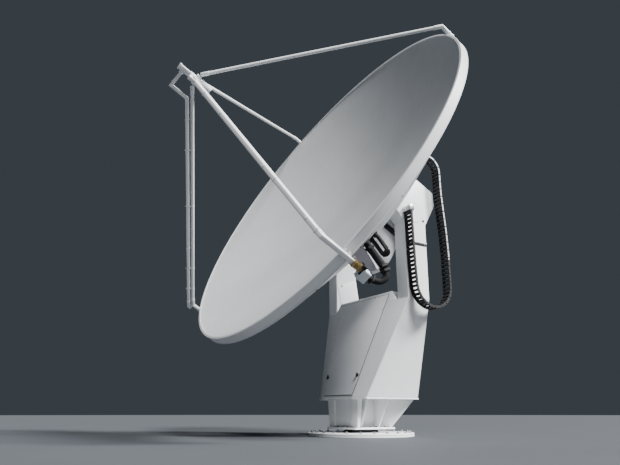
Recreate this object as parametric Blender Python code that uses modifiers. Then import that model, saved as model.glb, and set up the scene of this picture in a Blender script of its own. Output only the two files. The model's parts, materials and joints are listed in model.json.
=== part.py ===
"""Weather radar: a 4.5 m dish on an elevation-over-azimuth fork pedestal.

Metres, +Z up. The origin is the centre of the base flange on the ground, on the azimuth axis.
The dish looks along -Y, raised by ELEVATION. Dish pieces are drawn in the dish's own frame:
u to the right, v up along the rim plane, w forward along the boresight, from the rim's centre.
"""
import math

import bmesh
import bpy
from mathutils import Matrix, Vector

GAP = 0.0003                    # between pieces that rest on each other

# Dish
DISH_RADIUS = 2.25
DISH_DEPTH = 0.575
LIP_WIDTH = 0.025               # flat front lip of the rim drum
LIP_DROP = 0.012                # the bowl meets the drum this far behind the lip
SKIN = 0.030
DRUM_DEPTH = 0.100
DISH_SIDES = 72
BOWL_STEPS = 12
RING_RADIUS = 1.52              # back ring, where the skirt ends
RING_WALL = 0.025
RING_BACK = -0.450
HUB_RADIUS = 0.278
HUB_BACK = -0.780
RIB_CLOCKS = (37, 90, 143, 217, 270, 323)
RIB_THICKNESS = 0.020
RIB_WAIST = -0.540              # the ribs' back edge, where the chain's carrier stands

# Axes
ELEVATION = math.radians(28.465)
AXIS_Y = 0.275
AXIS_Z = 2.472
RIM_FORWARD = 1.003             # rim plane ahead of the elevation axis

# Base and column
FLANGE_RADIUS = 0.589
FLANGE_TOP = 0.040
BEARING_RADIUS = 0.197
BEARING_TOP = 0.075
SHELF_HALF = 0.270
SHELF_TOP = 0.095
CORE_HALF = 0.150
CORE_FRONT_Y = -0.225
CORE_BACK_Y = 0.170
POST_LOW_HALF = 0.262           # the front posts widen and deepen upwards
POST_HIGH_HALF = 0.285
POST_LOW_Y = (-0.240, -0.205)
POST_HIGH_Y = (-0.250, -0.180)
GUSSET_THICKNESS = 0.016
FLOOR_BOTTOM = 0.386
FLOOR_TOP = 0.402

# Fork housing
HOUSING_BOTTOM = FLOOR_TOP + GAP
BEND_Z = 1.452
SADDLE_Z = 1.567
FOOT_FRONT_HALF = 0.274
FOOT_FRONT_Y = -0.312
FOOT_HALF = 0.443
FOOT_SIDE_FRONT_Y = -0.248
FOOT_BACK_Y = 0.477
RIDGE_HALF = 0.490              # front edge of the saddle's top
RIDGE_Y = 0.113
SADDLE_HALF = 0.585
ARM_OUTER = 0.770
ARM_INNER = 0.590
ARM_FRONT_Y = 0.117
ARM_BACK_Y = 0.430
PANEL_THICKNESS = 0.008

# Shaft
SHAFT_RADIUS = 0.0893
BORE_RADIUS = 0.0900
BORE_DEPTH = 0.090
SHAFT_SIDES = 48
CRADLE_HALF = 0.500
CRADLE_RISE = 0.160
RECEIVER_TOP = -0.200

# Feed and its struts
STRUT_RADIUS = 0.0205
STRUT_FACET = 0.0195            # the tube's faceted side, nearer its axis than its corners
FOOT_RADIUS = 0.024
FEED_HUB_RADIUS = 0.040
LUG_REACH = 0.062
LUG_HALF = 0.020
STRUT_TOP_W = 1.790
HUB_LOW_W = 1.755
HUB_TOP_W = 1.880
FEED_TIP_W = 2.035
TUBE_HALF = 0.029               # half the square feed tube
HORN_W = 1.600
HORN_RADIUS = 0.050

# Waveguides along the struts, and where the right one goes over the rim
WAVEGUIDE_DEEP = 0.036
WAVEGUIDE_WIDE = 0.042
STUB_RADIUS = 2.318
DROP_RADIUS = 2.321
DROP_END_W = -0.115
SPOOL_END_W = -0.215
SPOOL_HALF = 0.045
SPOOL_NECK = 0.026
SPOOL_PLATE = 0.014
FILTER_END_W = -0.310
FILTER_SHIFT = -0.032           # along the rim
FLEXIBLE_SHIFT = -0.014
FLEXIBLE_RADIUS = 0.034
HOSE_RADIUS = 0.024
HOSE_APART = 0.056

# Cable chain: its fixed run hangs on the arm, its end rides on the dish
CHAIN_X = 0.837
CHAIN_WIDTH = 0.120
CHAIN_HEIGHT = 0.033
CHAIN_TOP_Z = 2.430
LOOP_Z = 1.604
LOOP_Y = 0.400
LOOP_RADIUS = 0.254
CURL_Y = 0.431
CURL_Z = 3.003
CURL_RADIUS = 0.175
SPLIT_RADIUS = 0.535            # from the elevation axis to where the chain is divided
SPLIT_HALF_GAP = 0.003
CARRIER_BACK = -0.700


def collection(name):
    """Makes a collection in the scene."""
    made = bpy.data.collections.new(name)
    bpy.context.scene.collection.children.link(made)
    return made


def paint(name, colour, roughness, metallic=0.0):
    """Makes a plain Principled material."""
    material = bpy.data.materials.new(name)
    material.use_nodes = True
    shader = material.node_tree.nodes["Principled BSDF"]
    shader.inputs["Base Color"].default_value = (*colour, 1.0)
    shader.inputs["Roughness"].default_value = roughness
    shader.inputs["Metallic"].default_value = metallic
    return material


def place(name, data, material, parent=None, location=(0, 0, 0), rotation=(0, 0, 0)):
    """Adds an object to the radar's collection with its material."""
    thing = bpy.data.objects.new(name, data)
    radar.objects.link(thing)
    data.materials.clear()
    data.materials.append(material)
    thing.location = location
    thing.rotation_euler = rotation
    thing.parent = parent
    return thing


def box(name, low, high, material, parent=None):
    """A box between two corners."""
    mesh = bpy.data.meshes.new(name)
    shape = bmesh.new()
    bmesh.ops.create_cube(shape, size=1.0)
    size = Vector(high) - Vector(low)
    bmesh.ops.scale(shape, vec=size, verts=shape.verts)
    shape.to_mesh(mesh)
    shape.free()
    return place(name, mesh, material, parent, (Vector(low) + Vector(high)) / 2)


def cylinder(name, radius, start, end, material, parent=None, sides=32, end_radius=None):
    """A cylinder or cone between two points of its axis."""
    start = Vector(start)
    end = Vector(end)
    mesh = bpy.data.meshes.new(name)
    shape = bmesh.new()
    top = radius if end_radius is None else end_radius
    bmesh.ops.create_cone(shape, cap_ends=True, segments=sides, radius1=radius, radius2=top,
                          depth=(end - start).length)
    shape.to_mesh(mesh)
    shape.free()
    turn = (end - start).to_track_quat("Z", "Y").to_euler()
    return place(name, mesh, material, parent, (start + end) / 2, turn)


def tube(name, points, radius, material, parent=None, resolution=3):
    """A round tube along straight runs between points."""
    curve = bpy.data.curves.new(name, "CURVE")
    curve.dimensions = "3D"
    curve.bevel_depth = radius
    curve.bevel_resolution = resolution
    curve.use_fill_caps = True
    spline = curve.splines.new("POLY")
    spline.points.add(len(points) - 1)
    for point, spot in zip(spline.points, points):
        point.co = (*spot, 1.0)
    return place(name, curve, material, parent)


def outline(name, points, thickness, material, parent=None, location=(0, 0, 0), rotation=(0, 0, 0)):
    """A flat plate cut to an outline in its own XY plane."""
    curve = bpy.data.curves.new(name, "CURVE")
    curve.dimensions = "2D"
    curve.fill_mode = "BOTH"
    curve.extrude = thickness / 2
    spline = curve.splines.new("POLY")
    spline.points.add(len(points) - 1)
    for point, spot in zip(spline.points, points):
        point.co = (*spot, 0.0, 1.0)
    spline.use_cyclic_u = True
    return place(name, curve, material, parent, location, rotation)


def turned(name, profile, material, parent=None, location=(0, 0, 0), sides=DISH_SIDES):
    """Turns a closed profile of (radius, height) points about the local Z axis."""
    following = profile[1:] + profile[:1]
    area = sum(here[0] * there[1] - there[0] * here[1] for here, there in zip(profile, following))
    if area > 0:
        profile = profile[::-1]
    mesh = bpy.data.meshes.new(name)
    shape = bmesh.new()
    corners = [shape.verts.new((radius, 0.0, height)) for radius, height in profile]
    for first, second in zip(corners, corners[1:] + corners[:1]):
        on_axis = first.co.x == 0.0 and second.co.x == 0.0
        if not on_axis:
            shape.edges.new((first, second))
    shape.to_mesh(mesh)
    shape.free()
    thing = place(name, mesh, material, parent, location)
    screw = thing.modifiers.new("turn", "SCREW")
    screw.axis = "Z"
    screw.angle = 2 * math.pi
    screw.steps = sides
    screw.render_steps = sides
    screw.use_merge_vertices = True
    screw.merge_threshold = 0.0001
    return thing


def loft(name, lower, upper, material):
    """Joins two unlike outlines with the same number of corners into one closed solid."""
    mesh = bpy.data.meshes.new(name)
    shape = bmesh.new()
    low = [shape.verts.new(point) for point in lower]
    high = [shape.verts.new(point) for point in upper]
    count = len(low)
    shape.faces.new(list(reversed(low)))
    shape.faces.new(high)
    for index in range(count):
        after = (index + 1) % count
        shape.faces.new((low[index], low[after], high[after], high[index]))
    bmesh.ops.triangulate(shape, faces=shape.faces)
    bmesh.ops.recalc_face_normals(shape, faces=shape.faces)
    shape.to_mesh(mesh)
    shape.free()
    return place(name, mesh, material)


def as_mesh(thing):
    """Replaces a curve object, or one with modifiers, by its welded mesh."""
    bpy.context.view_layer.update()
    graph = bpy.context.evaluated_depsgraph_get()
    mesh = bpy.data.meshes.new_from_object(thing.evaluated_get(graph))
    shape = bmesh.new()
    shape.from_mesh(mesh)
    bmesh.ops.remove_doubles(shape, verts=shape.verts, dist=0.00001)
    bmesh.ops.recalc_face_normals(shape, faces=shape.faces)
    shape.to_mesh(mesh)
    shape.free()
    made = place(thing.name + "_mesh", mesh, thing.data.materials[0], thing.parent)
    made.location = thing.location
    made.rotation_euler = thing.rotation_euler
    name = thing.name
    bpy.data.objects.remove(thing)
    made.name = name
    return made


def combine(thing, others, operation):
    """Cuts other objects from a mesh, or joins them to it, and hides them as cutters."""
    for other in others:
        radar.objects.unlink(other)
        cutters.objects.link(other)
        other.hide_render = True
        other.display_type = "WIRE"
        change = thing.modifiers.new(other.name, "BOOLEAN")
        change.operation = operation
        change.solver = "EXACT"
        change.object = other
    return thing


def bowl_height(radius):
    """Height of the bowl's front surface above the rim plane at a radius."""
    edge = DISH_RADIUS - LIP_WIDTH
    return -DISH_DEPTH + (DISH_DEPTH - LIP_DROP) * (radius / edge) ** 2


BOWL_EDGE = DISH_RADIUS - LIP_WIDTH - GAP
STATIONS = [BOWL_EDGE * step / BOWL_STEPS for step in range(BOWL_STEPS + 1)]


def bowl_back(radius):
    """Height of the bowl's faceted back at a radius."""
    for inner, outer in zip(STATIONS, STATIONS[1:]):
        if radius <= outer:
            share = (radius - inner) / (outer - inner)
            flat = bowl_height(inner) * (1 - share) + bowl_height(outer) * share
            return flat - SKIN
    return bowl_height(radius) - SKIN


def at_clock(radius, clock, height):
    """A point of the dish frame by its clock angle, counted from +u towards +v."""
    return Vector((radius * math.cos(clock), radius * math.sin(clock), height))


def on_boresight(w):
    """A point of the dish's middle line, from the elevation axis."""
    return RIM + Vector((0, 0, w))


def tilted(y, z):
    """A point of the fork's middle plane, in the dish's (v, w) from the elevation axis."""
    across = y - AXIS_Y
    up = z - AXIS_Z
    sine = math.sin(ELEVATION)
    cosine = math.cos(ELEVATION)
    return Vector((sine * across + cosine * up, sine * up - cosine * across))


def edges(path, half):
    """The two edges of a band along a flat path, mitred at its bends."""
    spots = [Vector(spot) for spot in path]
    left = []
    right = []
    for index, spot in enumerate(spots):
        into = (spot - spots[index - 1]).normalized() if index > 0 else None
        out = (spots[index + 1] - spot).normalized() if index < len(spots) - 1 else None
        first = into or out
        second = out or into
        along = (first + second).normalized()
        across = Vector((-along.y, along.x)) * half / along.dot(first)
        left.append(spot + across)
        right.append(spot - across)
    return left, right


for leftover in list(bpy.data.objects):
    bpy.data.objects.remove(leftover)

radar = collection("weather_radar")
cutters = collection("cutters")

white = paint("white_paint", (0.80, 0.81, 0.82), 0.45)
inside_white = paint("dish_paint", (0.74, 0.75, 0.76), 0.55)
black = paint("black_plastic", (0.02, 0.02, 0.022), 0.5)
steel = paint("dark_steel", (0.10, 0.10, 0.11), 0.5, 0.8)
bright = paint("bright_steel", (0.62, 0.62, 0.63), 0.35, 0.9)
brass = paint("brass", (0.65, 0.42, 0.16), 0.35, 1.0)
grey = paint("grey_paint", (0.42, 0.43, 0.45), 0.5)


def build_base():
    """The bolted-down flange and the azimuth bearing on it."""
    cylinder("base_flange", FLANGE_RADIUS, (0, 0, 0), (0, 0, FLANGE_TOP), white, sides=64)
    start = (0, 0, FLANGE_TOP + GAP)
    cylinder("azimuth_bearing", BEARING_RADIUS, start, (0, 0, BEARING_TOP), steel, sides=48)


def build_column():
    """The shelf plate on the bearing, the core and its gussets, and the housing's floor plate."""
    shelf_bottom = BEARING_TOP + GAP
    box("shelf_plate", (-SHELF_HALF, -SHELF_HALF, shelf_bottom), (SHELF_HALF, SHELF_HALF, SHELF_TOP), white)
    low = SHELF_TOP + GAP
    high = FLOOR_BOTTOM - GAP
    box("column_core", (-CORE_HALF, CORE_FRONT_Y, low), (CORE_HALF, CORE_BACK_Y, high), white)
    for side, word in ((-1, "left"), (1, "right")):
        inner = side * (CORE_HALF + GAP)
        rings = []
        for half, (front, back), z in ((POST_LOW_HALF, POST_LOW_Y, low), (POST_HIGH_HALF, POST_HIGH_Y, high)):
            outer = side * half
            rings.append([(inner, front, z), (outer, front, z), (outer, back, z), (inner, back, z)])
        loft("front_post_" + word, *rings, white)

        for spot, y, foot, reach in (("front", -0.150, 0.207, 0.335), ("middle", 0.080, 0.225, 0.405)):
            points = [(inner, low), (side * foot, low), (side * reach, high), (inner, high)]
            outline("_".join((spot, "gusset", word)), points, GUSSET_THICKNESS, white, None, (0, y, 0),
                    (math.radians(90), 0, 0))

        root = [(inner, 0.150), (inner, CORE_BACK_Y)]
        low_tip = [(side * 0.255, 0.235), (side * 0.235, 0.255)]
        high_tip = [(side * 0.420, 0.430), (side * 0.400, 0.450)]
        rings = []
        for tip, z in ((low_tip, low), (high_tip, high)):
            rings.append([(x, y, z) for x, y in (root[0], *tip, root[1])])
        loft("rear_gusset_" + word, *rings, white)
    outline("housing_floor", foot_outline(0.004), FLOOR_TOP - FLOOR_BOTTOM, white, None,
            (0, 0, (FLOOR_TOP + FLOOR_BOTTOM) / 2))


def foot_outline(margin):
    """The housing's outline at its foot, grown by a margin."""
    right = [(FOOT_FRONT_HALF, FOOT_FRONT_Y - margin), (FOOT_HALF + margin, FOOT_SIDE_FRONT_Y - margin),
             (FOOT_HALF + margin, FOOT_BACK_Y + margin)]
    return right + [(-x, y) for x, y in reversed(right)]


def build_housing():
    """The welded lower housing, which flares outwards and leans back up to the bend, and its saddle."""
    share = (BEND_Z - HOUSING_BOTTOM) / (SADDLE_Z - HOUSING_BOTTOM)
    bend_front_half = FOOT_FRONT_HALF + share * (RIDGE_HALF - FOOT_FRONT_HALF)
    bend_front_y = FOOT_FRONT_Y + share * (RIDGE_Y - FOOT_FRONT_Y)
    right = [(bend_front_half, bend_front_y), (ARM_OUTER, ARM_FRONT_Y), (ARM_OUTER, ARM_BACK_Y)]
    top = right + [(-x, y) for x, y in reversed(right)]
    lower = [(x, y, HOUSING_BOTTOM) for x, y in foot_outline(0.0)]
    upper = [(x, y, BEND_Z) for x, y in top]
    loft("lower_housing", lower, upper, white)

    low_half = [(bend_front_half, bend_front_y), (SADDLE_HALF, ARM_FRONT_Y - 0.02), (SADDLE_HALF, ARM_BACK_Y)]
    high_half = [(RIDGE_HALF, RIDGE_Y), (0.500, ARM_FRONT_Y), (0.500, ARM_BACK_Y)]
    rings = []
    for half_ring, z in ((low_half, BEND_Z + GAP), (high_half, SADDLE_Z)):
        ring = half_ring + [(-x, y) for x, y in reversed(half_ring)]
        rings.append([(x, y, z) for x, y in ring])
    loft("saddle", *rings, white)

    lean = Vector((0.0, bend_front_y - FOOT_FRONT_Y, BEND_Z - HOUSING_BOTTOM)).normalized()
    normal = Vector((0.0, -lean.z, lean.y))
    edge = 0.018
    start = Vector((0.0, FOOT_FRONT_Y, HOUSING_BOTTOM)) + lean * 0.03 + normal * GAP
    end = Vector((0.0, bend_front_y, BEND_Z)) - lean * 0.02 + normal * GAP
    corners = []
    for spot, half in ((start, FOOT_FRONT_HALF - edge), (end, bend_front_half - edge)):
        corners.append((Vector((-half, 0, 0)) + spot, Vector((half, 0, 0)) + spot))
    (left_low, right_low), (left_high, right_high) = corners
    back = [left_low, right_low, right_high, left_high]
    front = [corner + normal * PANEL_THICKNESS for corner in back]
    loft("front_access_panel", back, front, white)


def build_arm(side, word):
    """One fork arm with its drive head, cut for the elevation shaft."""
    points = [(ARM_FRONT_Y, BEND_Z + GAP), (ARM_BACK_Y, BEND_Z + GAP), (0.443, 2.330), (0.610, 2.610),
              (0.603, 2.770), (0.354, 2.893), (0.130, 2.860), (-0.020, 2.720), (-0.020, 2.480),
              (ARM_FRONT_Y, 2.330)]
    middle = side * (ARM_INNER + ARM_OUTER) / 2
    arm = outline("arm_" + word, points, ARM_OUTER - ARM_INNER, white, None, (middle, 0, 0), UPRIGHT)
    arm = as_mesh(arm)
    bore = cylinder("bore_" + word, BORE_RADIUS, (side * (ARM_INNER - 0.01), AXIS_Y, AXIS_Z),
                    (side * (ARM_INNER + BORE_DEPTH), AXIS_Y, AXIS_Z), steel, sides=SHAFT_SIDES)
    combine(arm, [bore], "DIFFERENCE")


def chain_path():
    """The fixed run's centre line in (y, z), from its end on the arm to where the chain is divided."""
    path = [(0.124, CHAIN_TOP_Z), (0.128, 2.100), (0.135, 1.800)]
    for step in range(13):
        angle = math.pi + math.pi * step / 12
        path.append((LOOP_Y + LOOP_RADIUS * math.cos(angle), LOOP_Z + LOOP_RADIUS * math.sin(angle)))
    path += [(0.656, 1.950), (0.645, 2.250), (0.618, 2.580), (0.606, 2.750), (0.606, AXIS_Z + SPLIT_RADIUS)]
    return path


def split_height(y, radius):
    """The height at which a circle about the elevation axis crosses a vertical line, above the axis."""
    return AXIS_Z + math.sqrt(radius ** 2 - (y - AXIS_Y) ** 2)


def build_chain():
    """The cable chain that hangs in a loop outside the right arm, and the bracket of its fixed end."""
    left, right = edges(chain_path(), CHAIN_HEIGHT / 2)
    for edge in (left, right):
        edge[-1].y = split_height(edge[-1].x, SPLIT_RADIUS - SPLIT_HALF_GAP)
    outline("energy_chain", left + right[::-1], CHAIN_WIDTH, black, None, (CHAIN_X, 0, 0), UPRIGHT)
    low = (ARM_OUTER + GAP, 0.095, CHAIN_TOP_Z + GAP)
    box("chain_bracket", low, (CHAIN_X + CHAIN_WIDTH / 2, 0.160, 2.462), bright)


def build_chain_end():
    """The chain's upper end, which curls over to a carrier on the back frame and tilts with the dish."""
    reach = CURL_Y + CURL_RADIUS
    path = [(reach, AXIS_Z + SPLIT_RADIUS / 2)]
    for step in range(9):
        angle = math.pi / 2 * step / 8
        path.append((CURL_Y + CURL_RADIUS * math.cos(angle), CURL_Z + CURL_RADIUS * math.sin(angle)))
    path.append((AXIS_Y, CURL_Z + CURL_RADIUS))
    left, right = edges(path, CHAIN_HEIGHT / 2)
    plane = RIM_FORWARD + CARRIER_BACK - GAP
    for edge in (left, right):
        edge[0].y = split_height(edge[0].x, SPLIT_RADIUS + SPLIT_HALF_GAP)
        edge[-1].x = AXIS_Y + (math.sin(ELEVATION) * (edge[-1].y - AXIS_Z) - plane) / math.cos(ELEVATION)
    points = [tilted(spot.x, spot.y) for spot in left + right[::-1]]
    outline("chain_end", points, CHAIN_WIDTH, black, elevation_axis, (CHAIN_X, 0, 0), UPRIGHT)
    half = CHAIN_WIDTH / 2
    box("chain_carrier", (CHAIN_X - half, 0.575, RIM_FORWARD + CARRIER_BACK),
        (CHAIN_X + half, 0.695, RIM_FORWARD + RIB_WAIST - GAP), white, elevation_axis)


def build_reflector():
    """The bowl, its rim drum, and the skirt behind the rim."""
    front = [(radius, bowl_height(radius)) for radius in STATIONS]
    back = [(radius, height - SKIN) for radius, height in front]
    turned("reflector", back + front[::-1], inside_white, elevation_axis, RIM)
    inner = DISH_RADIUS - LIP_WIDTH
    turned("rim_drum", [(DISH_RADIUS, 0.0), (inner, 0.0), (inner, -DRUM_DEPTH), (DISH_RADIUS, -DRUM_DEPTH)],
           white, elevation_axis, RIM)
    top = -DRUM_DEPTH - GAP
    turned("back_skirt", [(DISH_RADIUS, top), (inner, top), (RING_RADIUS - RING_WALL, RING_BACK),
                          (RING_RADIUS, RING_BACK)], white, elevation_axis, RIM)


def build_back_frame():
    """The ring inside the skirt's end, and the ribs from it to the hub behind the bowl."""
    ring_outer = RING_RADIUS - RING_WALL - 2 * GAP
    ring_inner = ring_outer - RING_WALL
    ring = [(radius, bowl_back(radius) - 2 * GAP) for radius in (ring_outer, ring_inner)]
    ring += [(ring_inner, RING_BACK), (ring_outer, RING_BACK)]
    turned("back_ring", ring, white, elevation_axis, RIM)
    start = HUB_RADIUS + GAP
    end = ring_inner * math.cos(math.pi / DISH_SIDES) - GAP
    tops = [start] + [radius for radius in STATIONS if start < radius < end] + [end]
    points = [(radius, bowl_back(radius) - 2 * GAP) for radius in tops]
    points += [(end, RING_BACK + 0.004), (1.200, RIB_WAIST), (0.880, RIB_WAIST), (start, -0.622)]
    for number, degrees in enumerate(RIB_CLOCKS, start=1):
        outline(f"back_rib_{number}", points, RIB_THICKNESS, white, elevation_axis, RIM,
                (math.radians(90), 0, math.radians(degrees)))


def build_cradle():
    """The hub behind the bowl, the cradle across the fork, and the two shafts in the arms' bores."""
    stations = [radius for radius in STATIONS if radius < HUB_RADIUS] + [HUB_RADIUS]
    profile = [(radius, bowl_back(radius) - GAP) for radius in stations]
    turned("back_hub", [(0.0, HUB_BACK)] + profile + [(HUB_RADIUS, HUB_BACK)], white, elevation_axis, RIM, 48)
    box("cradle", (-CRADLE_HALF, -CRADLE_RISE, RIM_FORWARD - 1.150),
        (CRADLE_HALF, CRADLE_RISE, RIM_FORWARD + HUB_BACK - GAP), white, elevation_axis)
    for side, word in ((-1, "left"), (1, "right")):
        cylinder("elevation_shaft_" + word, SHAFT_RADIUS, (side * (CRADLE_HALF + GAP), 0, 0),
                 (side * (ARM_INNER + BORE_DEPTH - 0.005), 0, 0), bright, elevation_axis, SHAFT_SIDES)


def build_struts():
    """The four struts, each from a short foot outside the rim to a lug of the feed's hub."""
    foot_radius = DISH_RADIUS + FOOT_RADIUS + GAP
    for word, degrees, foot_w in (("upper_right", 45, 0.076), ("lower_left", 225, 0.076),
                                  ("lower_right", -45, 0.189), ("upper_left", 135, 0.076)):
        clock = math.radians(degrees)
        low = RIM + at_clock(foot_radius, clock, -0.090)
        high = RIM + at_clock(foot_radius, clock, foot_w)
        cylinder("strut_foot_" + word, FOOT_RADIUS, low, high, white, elevation_axis, 16)
        slope = (at_clock(LUG_REACH, clock, STRUT_TOP_W) - at_clock(foot_radius, clock, foot_w)).normalized()
        lift = STRUT_FACET * math.hypot(slope.x, slope.y) + GAP
        start = high + Vector((0, 0, lift))
        end = RIM + at_clock(LUG_REACH + STRUT_FACET * slope.z + GAP, clock, STRUT_TOP_W)
        tube("strut_" + word, [start, end], STRUT_RADIUS, white, elevation_axis)


def build_feed():
    """The feed's hub with its lugs, the square tube in front of it and the horn behind."""
    hub = cylinder("feed_hub", FEED_HUB_RADIUS, on_boresight(HUB_LOW_W), on_boresight(HUB_TOP_W), white,
                   elevation_axis, 24)
    cross = []
    for degrees in (45, 135, 225, 315):
        clock = math.radians(degrees)
        for reach, side in ((LUG_REACH, -LUG_HALF), (LUG_REACH, LUG_HALF), (LUG_HALF, LUG_HALF)):
            cross.append((reach * math.cos(clock) - side * math.sin(clock),
                          reach * math.sin(clock) + side * math.cos(clock)))
    lugs = outline("lugs", cross, 0.062, white, elevation_axis, on_boresight(STRUT_TOP_W + 0.002))
    combine(hub, [as_mesh(lugs)], "UNION")
    cylinder("feed_tube", TUBE_HALF * math.sqrt(2), on_boresight(HUB_TOP_W + GAP), on_boresight(FEED_TIP_W),
             white, elevation_axis, 4)
    cylinder("feed_horn", HORN_RADIUS, on_boresight(HORN_W), on_boresight(HUB_LOW_W - GAP), white,
             elevation_axis, 32, HORN_RADIUS - 0.006)


def build_waveguides():
    """The two waveguides, which run above the lower struts, and the gear that the right one ends in."""
    lower_left = math.radians(225)
    lower_right = math.radians(-45)
    left_run = [(TUBE_HALF + GAP, 1.970), (0.229, 1.970), (0.229, 1.750), (STUB_RADIUS, 0.127),
                (STUB_RADIUS, 0.085)]
    right_run = [(FEED_HUB_RADIUS + GAP, 1.858), (0.215, 1.858), (0.215, 1.780), (DROP_RADIUS, 0.243),
                 (DROP_RADIUS, DROP_END_W)]
    for word, run, clock in (("left", left_run, lower_left), ("right", right_run, lower_right)):
        over, under = edges(run, WAVEGUIDE_DEEP / 2)
        outline("waveguide_" + word, over + under[::-1], WAVEGUIDE_WIDE, white, elevation_axis, RIM,
                (math.radians(90), 0, clock))

    top = DROP_END_W - GAP
    foot = SPOOL_END_W + SPOOL_PLATE
    half = [(SPOOL_HALF, top), (SPOOL_HALF, top - SPOOL_PLATE), (SPOOL_NECK, top - SPOOL_PLATE),
            (SPOOL_NECK, foot), (SPOOL_HALF, foot), (SPOOL_HALF, SPOOL_END_W)]
    spool = [(DROP_RADIUS + reach, w) for reach, w in half]
    spool += [(DROP_RADIUS - reach, w) for reach, w in half[::-1]]
    outline("waveguide_flange", spool, 0.080, brass, elevation_axis, RIM, (math.radians(90), 0, lower_right))

    low = DROP_RADIUS - SPOOL_HALF
    high = DROP_RADIUS + SPOOL_HALF
    start = SPOOL_END_W - GAP
    sides = [(low, start), (high, start), (high, FILTER_END_W), (low, FILTER_END_W)]
    middle = RIM + Vector((-math.sin(lower_right), math.cos(lower_right), 0)) * FILTER_SHIFT
    outline("filter_box", sides, 0.105, grey, elevation_axis, middle, (math.radians(90), 0, lower_right))


def skirt_mount(name, degrees, radius):
    """An empty on a flat facet of the skirt: x along the rim, y out along the slope, z off the skirt."""
    clock = math.radians(degrees)
    facet = math.cos(math.pi / DISH_SIDES)
    fall = (RING_BACK + DRUM_DEPTH + GAP) / (DISH_RADIUS - RING_RADIUS)
    slant = math.atan2(-fall, facet)
    tangent = Vector((-math.sin(clock), math.cos(clock), 0.0))
    slope = at_clock(math.cos(slant), clock, math.sin(slant))
    normal = tangent.cross(slope)
    mount = bpy.data.objects.new(name, None)
    radar.objects.link(mount)
    mount.parent = elevation_axis
    mount.location = RIM + at_clock(radius * facet, clock, -DRUM_DEPTH - GAP + fall * (DISH_RADIUS - radius))
    mount.rotation_euler = Matrix((tangent, slope, normal)).transposed().to_euler()
    return mount


def smooth_run(spots, steps=4):
    """A smooth curve through a few points, as points close enough for a tube."""
    ends = [spots[0] * 2 - spots[1]] + spots + [spots[-1] * 2 - spots[-2]]
    run = []
    for before, here, there, after in zip(ends, ends[1:], ends[2:], ends[3:]):
        for step in range(steps):
            part = step / steps
            bend = here * 2 + (there - before) * part
            bend += (before * 2 - here * 5 + there * 4 - after) * part ** 2
            bend += (here * 3 - before - there * 3 + after) * part ** 3
            run.append(bend / 2)
    return run + [spots[-1]]


def build_skirt_gear():
    """The slanted cabinet, the flexible waveguide and the hoses that stand on the skirt."""
    mount = skirt_mount("cabinet_mount", -42.5, 2.100)
    sides = [(-0.082, 0.0), (0.026, 0.0), (-0.036, 0.240), (-0.110, 0.200), (-0.128, 0.145)]
    outline("gear_cabinet", sides, 0.120, grey, mount, (0, -0.075, GAP), (math.radians(90), 0, 0))

    lower_right = math.radians(-45)
    along = Vector((-math.sin(lower_right), math.cos(lower_right), 0)) * FLEXIBLE_SHIFT
    bpy.context.view_layer.update()
    to_mount = mount.matrix_world.inverted() @ elevation_axis.matrix_world
    joint = to_mount @ (RIM + at_clock(DROP_RADIUS, lower_right, FILTER_END_W - GAP) + along)
    onward = to_mount @ (RIM + at_clock(DROP_RADIUS, lower_right, FILTER_END_W - 0.050) + along)
    bends = ((-0.075, 0.090, 0.325), (-0.020, 0.055, 0.330), (0.028, 0.025, 0.270), (0.050, -0.010, 0.180),
             (0.060, -0.034, 0.100), (0.062, -0.040, 0.040))
    arch = smooth_run([onward] + [Vector(spot) for spot in bends], 3)
    seat = [Vector((0.062, -0.040, 0.020)), Vector((0.062, -0.040, GAP))]
    run = [joint, joint.lerp(onward, 0.5)] + arch + seat
    tube("flexible_waveguide", run, FLEXIBLE_RADIUS, black, mount, 2)

    hose_mount = skirt_mount("hose_mount", -37.5, 1.920)
    middle = -0.040
    lean = -0.030
    bend = HOSE_APART / 2
    loop = [Vector((middle - bend, 0, GAP)), Vector((middle - bend, 0, 0.040))]
    for step in range(9):
        angle = math.pi - math.pi * step / 8
        loop.append(Vector((middle + lean + bend * math.cos(angle), 0, 0.175 + bend * math.sin(angle))))
    loop += [Vector((middle + bend, 0, 0.040)), Vector((middle + bend, 0, GAP))]
    tube("gear_hoses", loop, HOSE_RADIUS, black, hose_mount, 2)


def rounded(low, high, radius, steps=5):
    """A rectangle between two corners, with rounded corners, as an outline."""
    left = low[0] + radius
    right = high[0] - radius
    bottom = low[1] + radius
    top = high[1] - radius
    points = []
    for turn, (x, y) in enumerate(((right, top), (left, top), (left, bottom), (right, bottom))):
        for step in range(steps + 1):
            angle = math.pi / 2 * (turn + step / steps)
            points.append((x + radius * math.cos(angle), y + radius * math.sin(angle)))
    return points


def build_receiver():
    """The receiver housing that hangs under the cradle, and its bracket."""
    outline("receiver_housing", rounded((0.025, -0.740), (0.565, RECEIVER_TOP), 0.190), 0.310, white,
            elevation_axis, (0, 0, RIM_FORWARD - 0.945))
    box("receiver_bracket", (0.240, RECEIVER_TOP + GAP, RIM_FORWARD - 1.050),
        (0.360, -CRADLE_RISE - GAP, RIM_FORWARD - 0.850), white, elevation_axis)


RIM = Vector((0, 0, RIM_FORWARD))
UPRIGHT = (math.radians(90), 0, math.radians(90))       # stands a flat outline in the fork's middle plane
elevation_axis = bpy.data.objects.new("elevation_axis", None)
radar.objects.link(elevation_axis)
elevation_axis.location = (0, AXIS_Y, AXIS_Z)
elevation_axis.rotation_euler = (math.radians(90) - ELEVATION, 0, 0)

build_base()
build_column()
build_housing()
build_arm(-1, "left")
build_arm(1, "right")
build_chain()
build_reflector()
build_back_frame()
build_cradle()
build_chain_end()
build_struts()
build_feed()
build_waveguides()
build_skirt_gear()
build_receiver()
bpy.context.view_layer.update()
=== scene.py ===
"""Weather radar: the looks of every piece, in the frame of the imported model, in metres."""
import json
import math

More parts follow.
